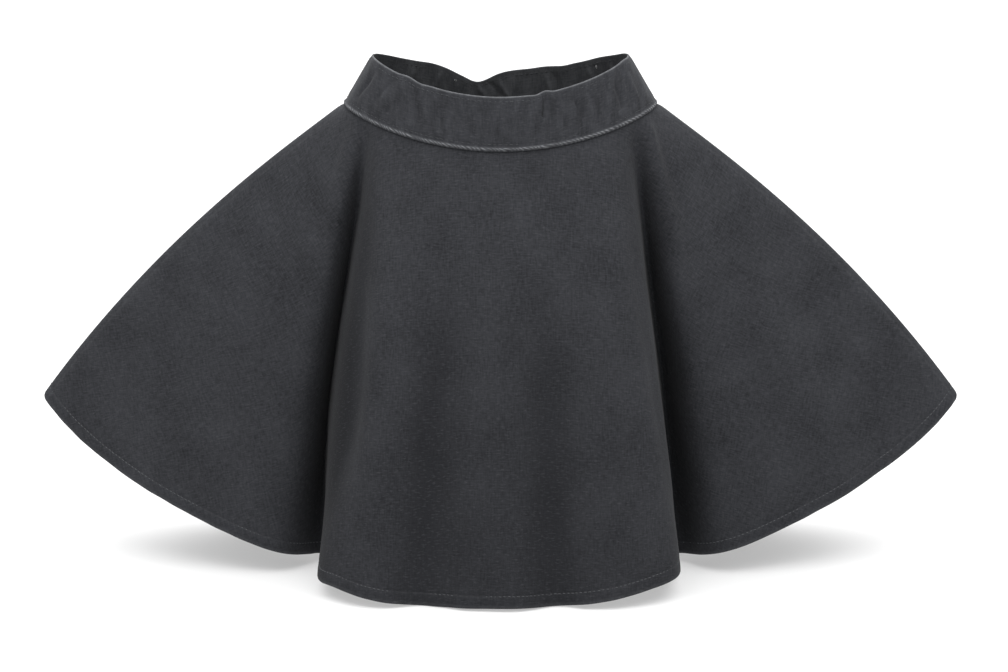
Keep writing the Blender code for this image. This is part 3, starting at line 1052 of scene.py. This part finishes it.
def weave_height(tree, places):
    """The relief of the slubby plain weave, from 0 to about 1."""
    warp = noise(tree, places, THREAD_WIDTH, SLUB_LENGTH)
    weft = noise(tree, places, SLUB_LENGTH, THREAD_WIDTH)
    grain = noise(tree, places, GRAIN_SIZE, GRAIN_SIZE, 1.0)
    grain = value_node(tree, "MULTIPLY", grain, GRAIN_RELIEF)
    threads = value_node(tree, "ADD", warp, weft)
    return value_node(tree, "MULTIPLY_ADD", threads, THREAD_RELIEF, grain)


def cloth_material(name, look):
    """Washed charcoal cotton with slubs, pale flecks, cloudy fading, worn edges and painted shade in folds.
    """
    material = bpy.data.materials.new(name)
    material.use_nodes = True
    tree = material.node_tree
    shader = tree.nodes["Principled BSDF"]
    places = reading(tree, "flat", "Vector")
    warp = noise(tree, places, THREAD_WIDTH, SLUB_LENGTH)
    weft = noise(tree, places, SLUB_LENGTH * WEFT_SLUB, THREAD_WIDTH)
    threads = value_node(tree, "MULTIPLY_ADD", warp, 0.5, value_node(tree, "MULTIPLY", weft, 0.5))
    clouds = noise(tree, places, *look["clouds"], 3.0)
    threads = value_node(tree, "MULTIPLY", threads, 1 - look["cloud_share"])
    shade = value_node(tree, "MULTIPLY_ADD", clouds, look["cloud_share"], threads)
    # Painted shade: darker where shade falls, in the folds, the troughs and the lower panels.
    unshaded_share = value_node(tree, "SUBTRACT", 1.0, reading(tree, "painted_shade"))
    shade = value_node(tree, "MULTIPLY", shade, unshaded_share)
    colour = mixed(tree, shade, DARK_CHARCOAL, CHARCOAL)
    flecks = noise(tree, places, *FLECK_SIZE, 1.0, *FLECK_PEAKS)
    colour = mixed(tree, value_node(tree, "MULTIPLY", flecks, FLECK_SHARE), colour, FLECK_GREY)
    colour = mixed(tree, worn_share(tree, places, look["wear"]), colour, WORN_GREY)
    # The inner side: painted light on the band, and on the skirt a little darker, for less fading and
    # painted shade.
    inside = mixed(tree, shade, look["inside_dark"], look["inside_light"])
    colour = mixed(tree, reading(tree, "inside"), colour, inside)
    tree.links.new(colour, shader.inputs["Base Color"])
    bump = tree.nodes.new("ShaderNodeBump")
    bump.inputs["Strength"].default_value = WEAVE_STRENGTH
    bump.inputs["Distance"].default_value = WEAVE_RELIEF
    tree.links.new(weave_height(tree, places), bump.inputs["Height"])
    tree.links.new(bump.outputs["Normal"], shader.inputs["Normal"])
    shader.inputs["Roughness"].default_value = CLOTH_ROUGHNESS
    shader.inputs["Specular IOR Level"].default_value = CLOTH_SPECULAR
    shader.inputs["Sheen Weight"].default_value = CLOTH_SHEEN
    shader.inputs["Sheen Roughness"].default_value = SHEEN_ROUGHNESS
    return material


def plain_material(name, colour, roughness):
    """A material of one colour."""
    material = bpy.data.materials.new(name)
    material.use_nodes = True
    shader = material.node_tree.nodes["Principled BSDF"]
    shader.inputs["Base Color"].default_value = (*colour, 1)
    shader.inputs["Roughness"].default_value = roughness
    return material


def add_cloth(piece, node, with_pieces):
    """Attach a cloth shell and its stitches to the root, and hide the part's solid that it stands for."""
    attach(piece, "root")
    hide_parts(node)
    for detail in with_pieces:
        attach(detail, "root")


def add_studio_light(name, row):
    """A soft light aimed at the skirt, or at the floor behind it where target_out says so.

    Azimuth 0 is straight in front, and 90 to the right.
    """
    light = dict(zip(LIGHT_COLUMNS, row))
    data = bpy.data.lights.new(name, "AREA")
    data.shape = "RECTANGLE"
    data.size = light["width"]
    data.size_y = light["height"]
    data.energy = light["power"]
    lamp = add_object(name, data)
    azimuth = math.radians(light["azimuth"])
    elevation = math.radians(light["elevation"])
    direction = Vector((
        math.cos(elevation) * math.sin(azimuth),
        -math.cos(elevation) * math.cos(azimuth),
        math.sin(elevation),
    ))
    target = Vector((0, light["target_out"], LIGHT_TARGET_HEIGHT))
    lamp.location = target + direction * light["distance"]
    lamp.rotation_euler = direction.to_track_quat("Z", "Y").to_euler()


def add_floor():
    """The white floor that the skirt is photographed on, glowing a little of itself."""
    mesh = bpy.data.meshes.new("floor")
    half = FLOOR_HALF_WIDTH
    corners = [(-half, -half, 0), (half, -half, 0), (half, half, 0), (-half, half, 0)]
    mesh.from_pydata(corners, [], [(0, 1, 2, 3)])
    sweep = plain_material("white_floor", FLOOR_WHITE, FLOOR_ROUGHNESS)
    shader = sweep.node_tree.nodes["Principled BSDF"]
    shader.inputs["Emission Color"].default_value = (1, 1, 1, 1)
    shader.inputs["Emission Strength"].default_value = FLOOR_GLOW
    mesh.materials.append(sweep)
    floor = add_object("floor", mesh)
    floor.location.z = FLOOR_HEIGHT


def add_world():
    """Even, weak light from all round."""
    world = bpy.data.worlds.new("studio")
    world.use_nodes = True
    background = world.node_tree.nodes["Background"]
    background.inputs["Color"].default_value = (1, 1, 1, 1)
    background.inputs["Strength"].default_value = WORLD_STRENGTH
    bpy.context.scene.world = world


def add_camera():
    """The photograph's camera, straight in front and a little above the skirt."""
    data = bpy.data.cameras.new("camera")
    camera = add_object("camera", data)
    camera.location = CAMERA_PLACE
    camera.rotation_euler = (math.radians(90 - CAMERA_DOWNWARD), 0, 0)
    data.sensor_width = SENSOR_WIDTH
    data.lens = FOCAL_PIXELS / PHOTO_WIDTH * SENSOR_WIDTH
    bpy.context.scene.camera = camera
    bpy.context.scene.view_settings.view_transform = "Standard"


skirt_cloth = cloth_material("charcoal_cotton", SKIRT_LOOK)
band_cloth = cloth_material("charcoal_band_cotton", BAND_LOOK)
hem_thread = plain_material("hem_thread", HEM_THREAD_GREY, THREAD_ROUGHNESS)
band_thread = plain_material("band_thread", BAND_THREAD_GREY, THREAD_ROUGHNESS)
tack_thread = plain_material("pale_thread", TACK_GREY, TACK_ROUGHNESS)

front_grids = skirt_grids(0, -1, FRONT_SKIRT_CREASES, FRONT_PUSHES, 11)
back_grids = skirt_grids(2 * QUARTER, 1, BACK_SKIRT_CREASES, BACK_PUSHES, 23)
front_band_grids = band_grids(0, -90.0, FRONT_BAND_CREASES, FRONT_BUMPS, 37)
back_band_grids = band_grids(2 * QUARTER, 90.0, BACK_BAND_CREASES, BACK_BUMPS, 51)

band_front = band_shell("waistband_front_cloth", front_band_grids, band_cloth)
band_back = band_shell("waistband_back_cloth", back_band_grids, band_cloth)
skirt_front = skirt_shell("skirt_front_cloth", front_grids, 0, FRONT_PAINTED_SHADES, skirt_cloth)
skirt_back = skirt_shell("skirt_back_cloth", back_grids, 2 * QUARTER, BACK_PAINTED_SHADES, skirt_cloth)

front_band_seams = band_stitches("waistband_front_stitches", front_band_grids, band_thread)
back_band_seams = band_stitches("waistband_back_stitches", back_band_grids, band_thread)
back_band_tacks = band_tacks("waistband_back_tacks", back_band_grids, tack_thread)
front_hem_seam = hem_stitches("skirt_front_hem_stitches", front_grids, hem_thread)
back_hem_seam = hem_stitches("skirt_back_hem_stitches", back_grids, hem_thread)

add_cloth(band_front, "waistband_front", [front_band_seams])
add_cloth(
    band_back, "waistband_back", [back_band_seams, back_band_tacks]
)
add_cloth(skirt_front, "skirt_front", [front_hem_seam])
add_cloth(skirt_back, "skirt_back", [back_hem_seam])

for light_name, light_row in STUDIO_LIGHTS.items():
    add_studio_light(light_name, light_row)
add_floor()
add_world()
add_camera()
